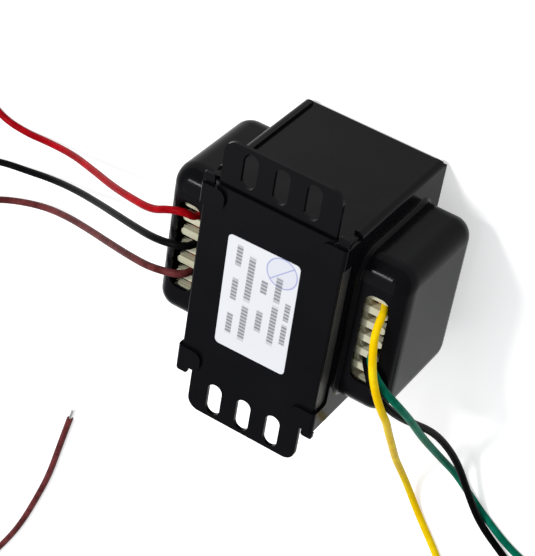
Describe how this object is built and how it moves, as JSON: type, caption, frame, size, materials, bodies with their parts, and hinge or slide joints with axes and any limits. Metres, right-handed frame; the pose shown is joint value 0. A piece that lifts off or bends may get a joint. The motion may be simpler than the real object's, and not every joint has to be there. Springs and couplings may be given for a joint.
{
  "type": "audio transformer",
  "caption": "Audio transformer with a strap-mounted laminated core, drawn end bells with lead windows, a combed bobbin and coloured flying leads.",
  "frame": {"origin": "centre of the bounding box without the leads, on the plane of the strap's back", "axes": "+X along the line of the two feet, +Y from the right bell to the left bell, +Z from the strap's back to the labelled base plate"},
  "size_m": [0.2968, 0.3225, 0.0582],
  "materials": {
    "black_paint": "gloss",
    "core_steel": "satin",
    "copper_wire": "satin",
    "bobbin_plastic": "matte",
    "insulation_film": "satin",
    "wrap_tape": "satin",
    "label_paper": "matte",
    "red_insulation": "satin",
    "black_insulation": "satin",
    "brown_insulation": "satin",
    "yellow_insulation": "satin",
    "green_insulation": "satin",
    "tinned_copper": "satin"
  },
  "bodies": {
    "root": {"e_laminations": "core_steel", "i_laminations": "core_steel", "mounting_strap": "black_paint", "base_plate": "black_paint", "left_bell": "black_paint", "right_bell": "black_paint", "label": "label_paper", "bobbin": "bobbin_plastic", "primary_winding_inner": "copper_wire", "secondary_winding": "copper_wire", "primary_winding_outer": "copper_wire", "insulation_1": "insulation_film", "insulation_2": "insulation_film", "outer_wrap": "wrap_tape", "lead_red": "red_insulation", "coil_red": "red_insulation", "tip_red": "tinned_copper", "lead_black_left": "black_insulation", "coil_black_left": "black_insulation", "tip_black_left": "tinned_copper", "lead_brown": "brown_insulation", "tip_brown": "tinned_copper", "lead_yellow": "yellow_insulation", "coil_yellow": "yellow_insulation", "tip_yellow": "tinned_copper", "lead_green": "green_insulation", "coil_green": "green_insulation", "tip_green": "tinned_copper", "lead_black_right": "black_insulation", "coil_black_right": "black_insulation", "tip_black_right": "tinned_copper"}
  },
  "joints": []
}
